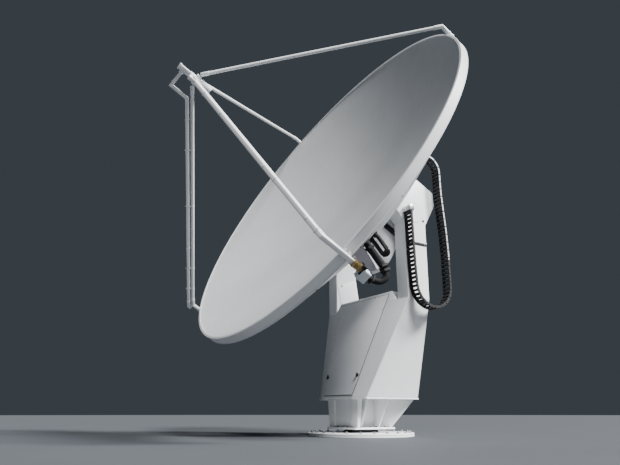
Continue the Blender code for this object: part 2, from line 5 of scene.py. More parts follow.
import bmesh
import bpy
from mathutils import Matrix, Vector


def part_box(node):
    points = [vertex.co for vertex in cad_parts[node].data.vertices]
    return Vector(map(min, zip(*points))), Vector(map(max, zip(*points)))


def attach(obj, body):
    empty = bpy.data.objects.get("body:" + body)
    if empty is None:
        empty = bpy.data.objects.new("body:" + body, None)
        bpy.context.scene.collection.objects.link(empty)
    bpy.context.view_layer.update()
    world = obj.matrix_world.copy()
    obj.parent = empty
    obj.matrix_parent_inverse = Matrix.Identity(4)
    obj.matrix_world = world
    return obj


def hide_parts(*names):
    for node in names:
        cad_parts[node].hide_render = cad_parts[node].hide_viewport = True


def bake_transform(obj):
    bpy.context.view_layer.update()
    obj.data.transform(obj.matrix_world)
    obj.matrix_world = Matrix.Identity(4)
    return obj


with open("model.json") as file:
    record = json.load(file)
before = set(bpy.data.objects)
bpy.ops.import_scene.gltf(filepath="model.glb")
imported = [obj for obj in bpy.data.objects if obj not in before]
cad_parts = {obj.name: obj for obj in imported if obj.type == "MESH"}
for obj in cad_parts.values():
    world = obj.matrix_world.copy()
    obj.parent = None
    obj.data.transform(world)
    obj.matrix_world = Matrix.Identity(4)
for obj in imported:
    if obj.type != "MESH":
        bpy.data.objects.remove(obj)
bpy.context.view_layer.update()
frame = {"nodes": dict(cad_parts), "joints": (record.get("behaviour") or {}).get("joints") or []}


# Camera
# The photograph is taken from the ground, ahead of the fork and to its right, looking up at the dish.
# Lens and place were worked out from the dish's rim, the feet of its struts and the base flange.
camera_pitch = math.radians(107.894)
camera_heading = math.radians(57.639)
camera_data = bpy.data.cameras.new("camera")
camera_data.sensor_width = 36.0
camera_data.lens = 32.4
camera = bpy.data.objects.new("camera", camera_data)
camera.location = (5.281, -4.017, 0.247)
camera.rotation_euler = (camera_pitch, 0.0, camera_heading)
bpy.context.scene.collection.objects.link(camera)
bpy.context.scene.camera = camera


# Base flange
# A thick round steel plate on a thinner one, turned and painted white.
# A ring of studs with nuts, zinc plated, holds it down on its tower.
class Wire:
    """A shader socket that plain sums work on: each sum adds its Math node."""

    def __init__(self, finish, socket):
        self.finish = finish
        self.socket = socket

    def sum(self, operation, first, second):
        return self.finish.node("ShaderNodeMath", {"operation": operation}, {0: first, 1: second})

    def __add__(self, other):
        return self.sum("ADD", self, other)

    def __radd__(self, other):
        return self.sum("ADD", other, self)

    def __sub__(self, other):
        return self.sum("SUBTRACT", self, other)

    def __rsub__(self, other):
        return self.sum("SUBTRACT", other, self)

    def __mul__(self, other):
        return self.sum("MULTIPLY", self, other)

    def __rmul__(self, other):
        return self.sum("MULTIPLY", other, self)


class Finish:
    """A Principled material, and the name of a record slot for it, which is kept but not used."""

    def __init__(self, name, slot, metallic=0.0):
        self.slot = slot
        self.material = bpy.data.materials.new(name)
        self.material.use_nodes = True
        self.tree = self.material.node_tree
        self.shader = self.tree.nodes["Principled BSDF"]
        self.set("Metallic", metallic)
        self.place = self.node("ShaderNodeTexCoord", out="Object")

    def node(self, kind, settings=None, inputs=None, out=0):
        """Adds a node: its settings first, then the values or links of its sockets."""
        made = self.tree.nodes.new(kind)
        for key, value in (settings or {}).items():
            if key == "stops":
                for stop, (position, shade) in zip(made.color_ramp.elements, value):
                    stop.position = position
                    stop.color = (shade, shade, shade, 1.0)
            else:
                setattr(made, key, value)
        for key, value in (inputs or {}).items():
            self.feed(made.inputs[key], value)
        return Wire(self, made.outputs[out])

    def feed(self, socket, value):
        if isinstance(value, Wire):
            self.tree.links.new(value.socket, socket)
        else:
            socket.default_value = value

    def set(self, name, value):
        self.feed(self.shader.inputs[name], value)

    def mix(self, mask, first, second):
        """A colour between two colours."""
        sockets = {0: mask, 6: (*first, 1.0), 7: (*second, 1.0)}
        return self.node("ShaderNodeMix", {"data_type": "RGBA"}, sockets, out=2)

    def noise(self, scale, detail, stretch=None):
        where = self.place
        if stretch:
            where = self.node("ShaderNodeVectorMath", {"operation": "MULTIPLY"}, {0: where, 1: stretch})
        return self.node("ShaderNodeTexNoise", None, {"Vector": where, "Scale": scale, "Detail": detail})

    def ramp(self, value, low, high):
        return self.node("ShaderNodeValToRGB", {"stops": ((low, 0.0), (high, 1.0))}, {0: value})

    def bump(self, height, strength, distance):
        sockets = {"Strength": strength, "Distance": distance, "Height": height}
        self.set("Normal", self.node("ShaderNodeBump", None, sockets))


def sprayed(name, slot, colour, roughness, dust):
    """Sprayed paint: a faint orange peel, and thin dust in soft clouds and in runs down the piece."""
    finish = Finish(name, slot)
    clouds = finish.ramp(finish.noise(1.6, 4.0), 0.40, 0.74)
    runs = finish.ramp(finish.noise(2.6, 5.0, (7.0, 7.0, 0.30)), 0.48, 0.82)
    soil = (clouds * 0.55 + runs * 0.45) * dust
    dusty = tuple(part * shade for part, shade in zip(colour, (0.76, 0.75, 0.72)))
    finish.set("Base Color", finish.mix(soil, colour, dusty))
    finish.set("Roughness", roughness + soil * 0.4 + finish.noise(30.0, 3.0) * 0.06)
    finish.bump(finish.noise(150.0, 2.0), 0.06, 0.0006)
    return finish


def clouded(name, slot, colours, grain, gloss, metallic=0.0, specular=0.5):
    """A bare finish: a cloud of a scale and detail moves it between two colours and two roughnesses."""
    finish = Finish(name, slot, metallic)
    cloud = finish.noise(*grain)
    finish.set("Base Color", finish.mix(cloud, *colours))
    finish.set("Roughness", cloud * (gloss[1] - gloss[0]) + gloss[0])
    finish.set("Specular IOR Level", specular)
    return finish


def piece(name, shape, finish, body, replaces=()):
    """Makes an object of a mesh, with its finish, and lets it ride on a body."""
    finishes = finish if isinstance(finish, list) else [finish]
    sharp_angle = math.radians(32.0)
    bmesh.ops.recalc_face_normals(shape, faces=shape.faces)
    mesh = bpy.data.meshes.new(name)
    shape.to_mesh(mesh)
    shape.free()
    mesh.shade_smooth()
    mesh.set_sharp_from_angle(angle=sharp_angle)
    thing = bpy.data.objects.new(name, mesh)
    bpy.context.scene.collection.objects.link(thing)
    for each in finishes:
        mesh.materials.append(each.material)
    if body:
        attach(thing, body)
    if replaces:
        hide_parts(*replaces)
    return thing


UP = (0, 0, 1)
DOWN = (0, 0, -1)


def facing(point, direction, side=None):
    """A placing whose Z looks along a direction, and whose X lies as near as it can to a side."""
    axis = Vector(direction).normalized()
    near = Vector(side or ((1, 0, 0) if abs(axis.x) < 0.8 else UP))
    across = (near - axis * near.dot(axis)).normalized()
    turn = Matrix((across, axis.cross(across), axis)).transposed().to_4x4()
    return Matrix.Translation(point) @ turn


def moved(place, x, y, z=0.0):
    """A placing moved along its own axes."""
    return place @ Matrix.Translation((x, y, z))


def on_circle(radius, angle, height=0.0):
    """A point of a circle about the Z axis."""
    return Vector((radius * math.cos(angle), radius * math.sin(angle), height))


def around(count, radius, height=0.0, first=0.5):
    """Points spaced evenly round a circle, the first one a part of a space from the X axis."""
    return [on_circle(radius, 2 * math.pi * (step + first) / count, height) for step in range(count)]


def disc(radius, low, high):
    """The profile of a plain round disc."""
    return [(0.0, low), (radius, low), (radius, high), (0.0, high)]


def add_band(shape, low, high, index=0):
    """Faces between two rings of corners; a ring may also be one corner, repeated."""
    faces = []
    for step in range(len(low)):
        after = (step + 1) % len(low)
        loop = list(dict.fromkeys((low[step], low[after], high[after], high[step])))
        if len(loop) > 2:
            faces.append(shape.faces.new(loop))
            faces[-1].material_index = index
    return faces


def add_turned(shape, profile, sides, place=None, index=0):
    """Turns a closed profile of (radius, height) points about the placing's Z."""
    place = place or Matrix()
    rings = []
    for radius, height in profile:
        if radius < 1e-6:
            rings.append([shape.verts.new(place @ Vector((0, 0, height)))] * sides)
        else:
            rings.append([shape.verts.new(place @ spot) for spot in around(sides, radius, height, 0.0)])
    for low, high in zip(rings, rings[1:] + rings[:1]):
        add_band(shape, low, high, index)


def add_bolts(shape, spots, size, way=UP, place=None, stud=0.0, index=0):
    """Hexagon heads on washers, or nuts with the ends of their studs, that look one way from their spots."""
    seat = size * 0.16
    top = size * 0.86
    end = top + stud
    head = [(0.0, seat), (size * 0.90, seat), (size * 0.90, size * 0.74), (size * 0.76, top), (0.0, top)]
    thread = [(0.0, top), (size * 0.5, top), (size * 0.5, end - size * 0.12), (size * 0.4, end), (0.0, end)]
    for spot in spots:
        bolt = (place or Matrix()) @ facing(spot, way)
        add_turned(shape, disc(size * 1.15, 0.0, seat), 16, bolt, index)
        add_turned(shape, head, 6, bolt, index)
        if stud:
            add_turned(shape, thread, 12, bolt, index)


white = sprayed("white_paint", "white_paint", (0.80, 0.81, 0.82), 0.30, 0.35)
zinc = clouded("zinc_plating", "bright_steel", ((0.62, 0.63, 0.64), (0.42, 0.43, 0.45)),
               (60.0, 3.0), (0.26, 0.51), metallic=1.0)

flange_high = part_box("base_flange")[1]
flange_radius = flange_high.x
flange_top = flange_high.z
lower_edge = 0.003
upper_radius = flange_radius - 0.001
upper_edge = 0.004
groove_low = 0.019
groove_high = 0.022
groove_edge = 0.002
groove_radius = flange_radius - 0.008
shape = bmesh.new()
add_turned(shape, [(0.0, 0.0), (flange_radius - lower_edge, 0.0), (flange_radius, lower_edge),
                   (flange_radius, groove_low - groove_edge), (flange_radius - groove_edge, groove_low),
                   (groove_radius, groove_low), (groove_radius, groove_high),
                   (upper_radius - groove_edge, groove_high), (upper_radius, groove_high + groove_edge),
                   (upper_radius, flange_top - upper_edge), (upper_radius - upper_edge, flange_top),
                   (0.0, flange_top)], 144)
piece("base_plates", shape, white, "base", replaces=("base_flange",))
stud_ring = 0.548
stud_count = 24
shape = bmesh.new()
add_bolts(shape, around(stud_count, stud_ring, flange_top), 0.015, stud=0.008)
piece("anchor_studs", shape, zinc, "base")


# Azimuth bearing
# A slewing ring of oiled black steel: a foot ring screwed to the base flange all round,
# and the body of the ring above it, which the shelf plate turns on.
oiled = clouded("oiled_steel", "dark_steel", ((0.030, 0.030, 0.033), (0.085, 0.082, 0.078)),
                (24.0, 4.0), (0.30, 0.60), metallic=0.6)
bearing_low, bearing_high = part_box("azimuth_bearing")
foot_ring = bearing_high.x
foot_top = bearing_low.z + 0.012
ring_edge = 0.002
ring_body = foot_ring - 0.034
crown = ring_body + 0.012
crown_low = bearing_high.z - 0.010
screw_ring = foot_ring - 0.016
screw_count = 22
shape = bmesh.new()
add_turned(shape, [(0.0, bearing_low.z), (foot_ring, bearing_low.z), (foot_ring, foot_top - ring_edge),
                   (foot_ring - ring_edge, foot_top), (ring_body, foot_top), (ring_body, crown_low),
                   (crown, crown_low + ring_edge), (crown, bearing_high.z), (0.0, bearing_high.z)], 96)
add_bolts(shape, around(screw_count, screw_ring, foot_top, first=0.0), 0.0115)
piece("slewing_ring", shape, oiled, "base", replaces=("azimuth_bearing",))


# Column
# Plate steel, cut, welded and painted white: a shelf plate on the bearing, a square core, and the posts
# and gussets that carry the housing's floor plate. Black bolts hold the shelf plate on the bearing.
def round_edges(shape, edges, width, segments):
    """Rounds some of a shape's edges."""
    bmesh.ops.bevel(shape, geom=edges, offset=width, segments=segments, profile=0.5, affect="EDGES",
                    clamp_overlap=True)


def dressed(node, body, finish, width=0.003, segments=2, mated=None):
    """A model piece with its edges rounded as on the real one, but for edges welded to a mate."""
    shape = bmesh.new()
    shape.from_mesh(frame["nodes"][node].data)
    bmesh.ops.remove_doubles(shape, verts=shape.verts, dist=0.00001)
    bmesh.ops.dissolve_limit(shape, angle_limit=math.radians(1.0), verts=shape.verts, edges=shape.edges)
    edges = []
    for edge in shape.edges:
        welded = mated and all(mated(vertex.co) for vertex in edge.verts)
        if edge.calc_face_angle(0.0) > math.radians(12.0) and not welded:
            edges.append(edge)
    round_edges(shape, edges, width, segments)
    bmesh.ops.remove_doubles(shape, verts=shape.verts, dist=0.00001)
    piece(node + "_finished", shape, finish, body, replaces=(node,))


def add_pipe(shape, points, radius, sides=20):
    """A round tube along a run of points, with flat ends; its radius may change from point to point."""
    spots = [Vector(point) for point in points]
    radii = radius if isinstance(radius, list) else [radius] * len(spots)
    rings = []
    side = None
    for number, spot in enumerate(spots):
        into = (spot - spots[number - 1]).normalized() if number else None
        out = (spots[number + 1] - spot).normalized() if number < len(spots) - 1 else None
        along = ((into or out) + (out or into)).normalized()
        start = side or Vector(UP if abs(along.z) < 0.9 else (1, 0, 0))
        side = (start - along * start.dot(along)).normalized()
        other = along.cross(side)
        spokes = [side * spoke.x + other * spoke.y for spoke in around(sides, 1.0, first=0.0)]
        rings.append([shape.verts.new(spot + spoke * radii[number]) for spoke in spokes])
    for low, high in zip(rings, rings[1:]):
        add_band(shape, low, high)
    shape.faces.new(rings[0][::-1])
    shape.faces.new(rings[-1])


for node, width in (("shelf_plate", 0.002), ("column_core", 0.006), ("housing_floor", 0.003)):
    dressed(node, "turret", white, width)
plates = (("front_post", 0.006), ("front_gusset", 0.003), ("middle_gusset", 0.003), ("rear_gusset", 0.004))
for word in ("left", "right"):
    for plate, width in plates:
        dressed(f"{plate}_{word}", "turret", white, width)
core_low, core_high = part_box("column_core")
weld_radius = 0.004
shape = bmesh.new()
for side in (-1, 1):
    for y in (-0.160, -0.140, 0.070, 0.090, 0.148):      # beside the plates that meet the core
        add_pipe(shape, [(side * core_high.x, y, z) for z in (core_low.z, core_high.z)], weld_radius, 8)
piece("column_welds", shape, white, "turret")
# Black steel for the shelf bolts, and painted shade on the amplifier under the cradle.
black_steel_and_shade = clouded("blackened_steel_and_painted_shade", "dark_steel", ((0.022, 0.022, 0.024), (0.060, 0.058, 0.056)),
                     (80.0, 3.0), (0.38, 0.63), metallic=0.4)
shelf_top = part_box("shelf_plate")[1].z
shelf_rows = (-0.180, -0.060, 0.030, 0.150, 0.190)
shelf_spots = [(x, y, shelf_top) for x in (-0.244, 0.244) for y in shelf_rows]
shelf_spots += [(x, y, shelf_top) for x in (-0.090, 0.0, 0.090) for y in (-0.249, 0.215)]
shape = bmesh.new()
add_bolts(shape, shelf_spots, 0.011)
piece("shelf_bolts", shape, black_steel_and_shade, "turret")


# Housing
# The body under the fork, folded and welded of sheet steel and painted white. It flares up to the arms
# and ends in a saddle between them. A plate with cable glands closes its back, low down.
bend_z = 1.452


def at_bend(corner):
    """Tells the corners along which the arms are welded to the housing."""
    return abs(corner.z - bend_z) < 0.002


dressed("lower_housing", "turret", white, 0.010, 3, at_bend)
dressed("saddle", "turret", white, 0.006, 2, at_bend)


def add_prism(shape, outline, thickness, place, bevel, index=0, segments=2):
    """A plate of an outline, centred on the placing's XY plane, with rounded edges."""
    low = [shape.verts.new(place @ Vector((x, y, -thickness / 2))) for x, y in outline]
    high = [shape.verts.new(place @ Vector((x, y, thickness / 2))) for x, y in outline]
    faces = [shape.faces.new(low[::-1]), shape.faces.new(high)] + add_band(shape, low, high)
    for face in faces:
        face.material_index = index
        face.normal_update()
    edges = dict.fromkeys(edge for face in faces for edge in face.edges)
    round_edges(shape, [edge for edge in edges if edge.calc_face_angle(0.0) > 0.45], bevel, segments)


def add_block(shape, one, other, place, bevel, index=0, segments=2):
    """A box between two opposite corners, with rounded edges."""
    (left, right), (front, back), (low, high) = [sorted(pair) for pair in zip(one, other)]
    outline = [(left, front), (right, front), (right, back), (left, back)]
    add_prism(shape, outline, high - low, moved(place, 0, 0, (low + high) / 2), bevel, index, segments)


def add_slab(shape, reach, low, high, place, bevel, index=0, segments=2):
    """A box centred on the placing's Z axis: half its size along X and Y, then its two heights."""
    add_block(shape, (-reach[0], -reach[1], low), (*reach, high), place, bevel, index, segments)


def corners(x, y, z=0.0):
    """Four points at one height, on both sides of the X and Y axes."""
    return [(side * x, end * y, z) for side in (-1, 1) for end in (-1, 1)]


rubber = clouded("black_rubber", "black_plastic", ((0.008, 0.008, 0.009), (0.020, 0.020, 0.022)),
                 (26.0, 4.0), (0.60, 0.85), specular=0.2)
gland_z = 0.62
gland_thick = 0.006
gland_place = facing((0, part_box("lower_housing")[1].y - 0.012, gland_z), (0, 1, 0), (1, 0, 0))
shape = bmesh.new()
add_slab(shape, (0.17, 0.07), 0.0, gland_thick, gland_place, 0.002)
add_bolts(shape, corners(0.15, 0.052, gland_thick), 0.007, place=gland_place)
for x in (-0.09, 0.0, 0.09):
    nut = moved(gland_place, x, 0.0, gland_thick)
    add_turned(shape, [(0, 0), (0.026, 0), (0.026, 0.010), (0.024, 0.012), (0, 0.012)], 6, nut, 1)
    add_turned(shape, [(0, 0.012), (0.020, 0.012), (0.019, 0.020), (0.015, 0.024), (0, 0.022)], 24, nut, 1)
piece("gland_plate", shape, [white, rubber], "turret")


# Front access panel
# A flat sheet steel door over the housing's front, painted white, on a black rubber seal. The seal stands
# out round the door, and its black edge there is painted shade of the gap.
# Screws hold its sides, and two black swing handles lock it near the foot.
foot_corner = Vector((0.274, -0.312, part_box("lower_housing")[0].z))
ridge_corner = Vector((0.490, 0.113, 1.567))
front_lean = Vector((0, ridge_corner.y - foot_corner.y, ridge_corner.z - foot_corner.z)).normalized()
front_normal = Vector((0, -front_lean.z, front_lean.y))
front_length = (ridge_corner.z - foot_corner.z) / front_lean.z
door_place = facing((0, foot_corner.y, foot_corner.z), front_normal, (1, 0, 0))
door_start = 0.030
door_end = front_length - 0.040
door_inset = 0.018
door_under = 0.0003
door_face = 0.0083
seal_margin = 0.006


def on_front(side, inset, along, lift=0.0):
    """A point of the housing's front, by its distance in from the side's fold and up from the foot."""
    half = foot_corner.x + (ridge_corner.x - foot_corner.x) * along / front_length
    spot = Vector((side * (half - inset), foot_corner.y, foot_corner.z))
    return spot + front_lean * along + front_normal * lift


def add_door_sheet(shape, margin, low, high, bevel):
    """A sheet of the door's outline, grown by a margin, between two heights over the housing's front."""
    outline = []
    for side, along in ((-1, door_start - margin), (1, door_start - margin), (1, door_end + margin),
                        (-1, door_end + margin)):
        corner = door_place.inverted() @ on_front(side, door_inset - margin, along)
        outline.append((corner.x, corner.y))
    add_prism(shape, outline, high - low, moved(door_place, 0, 0, (low + high) / 2), bevel)


shape = bmesh.new()
add_door_sheet(shape, 0.0, door_under, door_face, 0.003)
piece("door", shape, white, "turret", replaces=("front_access_panel",))
# The seal stands out round the door, so its black is painted shade of the gap there.
shape = bmesh.new()
add_door_sheet(shape, seal_margin, -0.002, 0.004, 0.001)
piece("door_seal_and_gap_shade", shape, rubber, "turret")
screw_inset = 0.014
screw_spots = [on_front(side, door_inset + screw_inset, along, door_face)
               for side in (-1, 1) for along in (0.10, 0.45, 0.73, 1.02)]
screw_spots += [door_place @ Vector((x, door_end - screw_inset, door_face)) for x in (-0.24, 0.0, 0.24)]
shape = bmesh.new()
add_bolts(shape, screw_spots, 0.0065, front_normal)
piece("door_screws", shape, zinc, "turret")
handle_along = 0.245
handle_inset = 0.034
handle_collar = [(0, 0), (0.015, 0), (0.015, 0.006), (0.012, 0.008), (0, 0.008)]
shape = bmesh.new()
for side in (-1, 1):
    place = facing(on_front(side, handle_inset, handle_along, door_face), front_normal, (1, 0, 0))
    add_turned(shape, handle_collar, 24, place)
    add_block(shape, (-0.008, -0.024, 0.008), (0.008, 0.022, 0.022), place, 0.003)
piece("door_handles", shape, rubber, "turret")


# Fork arms
# Two boxes of folded sheet steel, painted white, welded to the housing. Each has a faceted head with a
# bearing for the dish: a bolted ring on its inner face, and a flat cover on its outer face.
axis_point = Vector(frame["joints"][1]["pos_m"])
arm_inner = 0.590
arm_outer = 0.770
ring_face = 0.013
ring_profile = [(0.098, 0.0), (0.150, 0.0), (0.150, 0.010), (0.147, ring_face), (0.101, ring_face),
                (0.098, 0.010)]
cover_face = 0.004
cover_profile = [(0.0, 0.0), (0.128, 0.0), (0.128, 0.002), (0.126, cover_face), (0.0, cover_face)]
cover_screw = [(0.0, 0.0), (0.006, 0.0), (0.006, 0.0012), (0.004, 0.0022), (0.0, 0.0022)]
for side, word in ((-1, "left"), (1, "right")):
    dressed("arm_" + word, "turret", white, 0.010, 3, at_bend)
    inner = facing((side * arm_inner, axis_point.y, axis_point.z), (-side, 0, 0))
    outer = facing((side * arm_outer, axis_point.y, axis_point.z), (side, 0, 0))
    shape = bmesh.new()
    add_turned(shape, ring_profile, 64, inner)
    add_turned(shape, cover_profile, 64, outer)
    piece("bearing_rings_" + word, shape, white, "turret")
    shape = bmesh.new()
    add_bolts(shape, around(12, 0.130, ring_face), 0.0085, place=inner)
    piece("bearing_bolts_" + word, shape, zinc, "turret")
    shape = bmesh.new()
    for spot in around(8, 0.114, cover_face):
        add_turned(shape, cover_screw, 12, moved(outer, *spot))
    piece("cover_screws_" + word, shape, white, "turret")


# Fittings on the arms
# A black strap and an eye bolt stop the cable chain's swing, and a rubber plug closes the oil filler's
# hole. A bolted white plate covers an opening inside the left arm; pale clips hold leads on the right one.
strap_z = 2.088
strap_half = 0.017
strap_thick = 0.005
plug_profile = [(0, 0), (0.015, 0), (0.015, 0.003), (0.011, 0.0045), (0.006, 0.002), (0, 0.002)]
shape = bmesh.new()
add_block(shape, (0.150, strap_z - strap_half, 0.0), (0.428, strap_z + strap_half, strap_thick),
          facing((arm_outer, 0, 0), (1, 0, 0), (0, 1, 0)), 0.0015)
add_turned(shape, plug_profile, 24, facing((arm_outer, 0.408, 2.380), (1, 0, 0)))
piece("arm_strap", shape, rubber, "turret")
eye = facing((arm_outer - 0.030, 0.430, 2.118), (0, 1, 0))
eye_reach = 0.028
eye_ring = [eye @ Vector((spot.x, 0, eye_reach + spot.y)) for spot in around(16, 0.014, first=0.0)]
eye_profile = [(0, 0), (0.012, 0), (0.012, 0.004), (0.006, 0.006), (0.006, 0.016), (0, 0.016)]
shape = bmesh.new()
add_bolts(shape, [(arm_outer + strap_thick, y, strap_z) for y in (0.185, 0.405)], 0.006, (1, 0, 0))
add_turned(shape, eye_profile, 16, eye)
add_pipe(shape, eye_ring + eye_ring[:1], 0.004, 8)
add_bolts(shape, [(-arm_inner + 0.005, 0.199, 1.835)], 0.012, (1, 0, 0))
piece("eye_bolt", shape, zinc, "turret")
side_on = Matrix(((0, 0, 1, 0), (1, 0, 0, 0), (0, 1, 0, 0), (0, 0, 0, 1)))
cover_corners = [(0.135, 1.834), (0.183, 1.575), (0.469, 1.668), (0.428, 1.9335)]
shape = bmesh.new()
add_prism(shape, cover_corners, 0.004, Matrix.Translation((-arm_inner + 0.003, 0, 0)) @ side_on, 0.001)
piece("cover_plate", shape, white, "turret")
arm_front = 0.117
clip_top = 2.330
clip_pitch = 0.047
clip_button = [(0, 0.010), (0.005, 0.010), (0.005, 0.012), (0, 0.013)]
shape = bmesh.new()
for step in range(6):
    clip = facing((0.722, arm_front, clip_top - clip_pitch * step), (0, -1, 0), (1, 0, 0))
    add_slab(shape, (0.017, 0.012), 0.0, 0.010, clip, 0.004)
    add_turned(shape, clip_button, 12, clip)
add_pipe(shape, [(0.728, arm_front - 0.006, z) for z in (2.385, 2.060)], 0.0045, 10)
piece("lead_clips", shape, white, "turret")


# Dish
# A moulded bowl with matt paint. Round it a rolled drum of sheet with a hem at each edge, and behind the
# drum a conical skirt, both painted white. Rubber plugs close the drain holes in the skirt.
tilt = math.radians(28.465)
rim_forward = 1.003
dish_u = Vector((1, 0, 0))
dish_v = Vector((0, math.sin(tilt), math.cos(tilt)))
dish_w = Vector((0, -math.cos(tilt), math.sin(tilt)))
dish_turn = Matrix((dish_u, dish_v, dish_w)).transposed()
dish_place = Matrix.Translation(axis_point + dish_w * rim_forward) @ dish_turn.to_4x4()
rim_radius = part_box("rim_drum")[1].x
lip_width = 0.025
lip_drop = 0.012
bowl_radius = rim_radius - lip_width
bowl_depth = 0.575
bowl_skin = 0.030
bowl_steps = 44
bowl_sides = 216


def bowl_height(radius):
    """Height of the bowl's front above the rim plane."""
    return -bowl_depth + (bowl_depth - lip_drop) * (radius / bowl_radius) ** 2


matt = sprayed("matt_dish_paint", "dish_paint", (0.74, 0.75, 0.76), 0.50, 0.40)
radii = [bowl_radius * step / bowl_steps for step in range(bowl_steps + 1)]
front = [(radius, bowl_height(radius)) for radius in radii]
back = [(radius, height - bowl_skin) for radius, height in front]
shape = bmesh.new()
add_turned(shape, back + front[::-1], bowl_sides, dish_place)
piece("dish_bowl", shape, matt, "antenna", replaces=("reflector",))

drum_depth = 0.100
hem = 0.007
hem_edge = 0.003
wall_radius = rim_radius - 0.004
shape = bmesh.new()
add_turned(shape, [(bowl_radius, 0.0), (rim_radius - hem_edge, 0.0), (rim_radius, -hem_edge),
                   (rim_radius, -hem), (wall_radius, -hem - hem_edge),
                   (wall_radius, -drum_depth + hem + hem_edge), (rim_radius, -drum_depth + hem),
                   (rim_radius, -drum_depth), (bowl_radius, -drum_depth)], 288, dish_place)
piece("dish_drum", shape, white, "antenna", replaces=("rim_drum",))

ring_radius = 1.520
ring_back = -0.450
ring_wall = 0.025
shape = bmesh.new()
add_turned(shape, [(wall_radius, -drum_depth), (bowl_radius - 0.001, -drum_depth),
                   (ring_radius - ring_wall, ring_back), (ring_radius, ring_back)], bowl_sides, dish_place)
piece("dish_skirt", shape, white, "antenna", replaces=("back_skirt",))


def skirt_place(degrees, radius):
    """A placing on the skirt: X along the rim, Y out along the slope, Z off the skirt."""
    clock = math.radians(degrees)
    fall = (ring_back + drum_depth) / (rim_radius - ring_radius)
    slant = math.atan(-fall)
    along = on_circle(1.0, clock + math.pi / 2)
    slope = on_circle(math.cos(slant), clock, math.sin(slant))
    spot = on_circle(radius, clock, -drum_depth + fall * (rim_radius - radius))
    turn = Matrix((along, slope, along.cross(slope))).transposed().to_4x4()
    return dish_place @ Matrix.Translation(spot) @ turn


drain_plug = [(0, -0.002), (0.011, -0.002), (0.011, 0.002), (0.008, 0.0035), (0, 0.0035)]
shape = bmesh.new()
for degrees in range(-42, 318, 15):
    add_turned(shape, drain_plug, 20, skirt_place(degrees, 2.160))
piece("drain_plugs", shape, rubber, "antenna")


# Back frame
# A rolled ring and six plate ribs between it and a round hub, welded and painted white, carry the bowl.
# The hub is bolted to the cradle by a ring of zinc plated bolts.
dressed("back_ring", "antenna", white, 0.002)
for number in range(1, 7):
    dressed(f"back_rib_{number}", "antenna", white, 0.003)
dressed("back_hub", "antenna", white, 0.004)
hub_back = -0.780
cradle_reach = 0.175             # within this height the cradle covers the hub
shape = bmesh.new()
hub_spots = [spot for spot in around(24, 0.248, hub_back) if abs(spot.y) > cradle_reach]
add_bolts(shape, hub_spots, 0.010, DOWN, dish_place)
piece("hub_bolts", shape, zinc, "antenna")


# Cradle
# A welded box across the fork, painted white, that carries the hub. Round steel shafts, bolted to its
# ends by their flanges, turn in the arms. Under its right end hangs an amplifier with cooling fins. Its
# black body and every other black fin are painted shade of the gap at the cradle's end, and the zinc fins
# between are painted highlights of lit fin edges.
dressed("cradle", "antenna", white, 0.006)
cradle_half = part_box("cradle")[1].x
shaft_face = 0.014
shaft_profile = [(0.0, 0.0), (0.138, 0.0), (0.138, 0.012), (0.136, shaft_face), (0.0, shaft_face)]
for side, word in ((-1, "left"), (1, "right")):
    dressed("elevation_shaft_" + word, "antenna", zinc, 0.001)
    place = facing((side * cradle_half, axis_point.y, axis_point.z), (side, 0, 0))
    shape = bmesh.new()
    add_turned(shape, shaft_profile, 48, place)
    add_bolts(shape, around(8, 0.114, shaft_face), 0.010, place=place)
    piece("shaft_flange_" + word, shape, zinc, "antenna")
amplifier = Matrix.Translation(axis_point) @ dish_turn.to_4x4()
fin_front = 0.135
fin_back = -0.085
fin_low = -0.276
fin_pitch = 0.0145
fin_thick = 0.004
shape = bmesh.new()
add_block(shape, (0.400, -0.235, fin_back + 0.01), (0.485, -0.160, fin_front - 0.01), amplifier, 0.003)
# Painted shade and light: even fins are black like the shaded gap, odd fins are zinc as painted highlights of
# lit fin edges.
for step in range(8):
    v = fin_low + fin_pitch * step
    add_block(shape, (0.395, v, fin_back), (0.500, v + fin_thick, fin_front), amplifier, 0.001, step % 2, 1)
add_block(shape, (0.400, -0.280, fin_back), (0.492, -0.236, fin_back + 0.012), amplifier, 0.001, 0, 1)
piece("finned_amplifier", shape, [black_steel_and_shade, zinc], "antenna")


# Receiver housing
# A deep-drawn white cover with well rounded edges that hangs under the cradle on a short bracket.
# Small screws hold its lid.
dressed("receiver_housing", "antenna", white, 0.034, 5)
dressed("receiver_bracket", "antenna", white, 0.003)
receiver_low = -0.740
receiver_high = -0.200
shape = bmesh.new()
for u in (0.20, 0.39):
    add_bolts(shape, [(u, receiver_low, w) for w in (-0.860, -1.030)], 0.007, (0, -1, 0), dish_place)
    add_bolts(shape, [(u, receiver_high, -0.815)], 0.007, (0, 1, 0), dish_place)
piece("receiver_screws", shape, zinc, "antenna")


# Struts
# Four painted aluminium tubes from feet outside the rim to the lugs of the feed's hub. Each foot is a
# short tube in two clamps on the drum, and each strut ends in a collar with a cross bolt.
def dish_point(radius, clock, height, aside=0.0):
    """A point of the dish by radius, clock angle and height, moved aside along the rim."""
    return dish_place @ (on_circle(radius, clock, height) + on_circle(aside, clock + math.pi / 2))


def dish_way(clock, across, up):
    """A direction of the dish, outward at a clock angle and forward."""
    return (dish_turn @ on_circle(across, clock, up)).normalized()


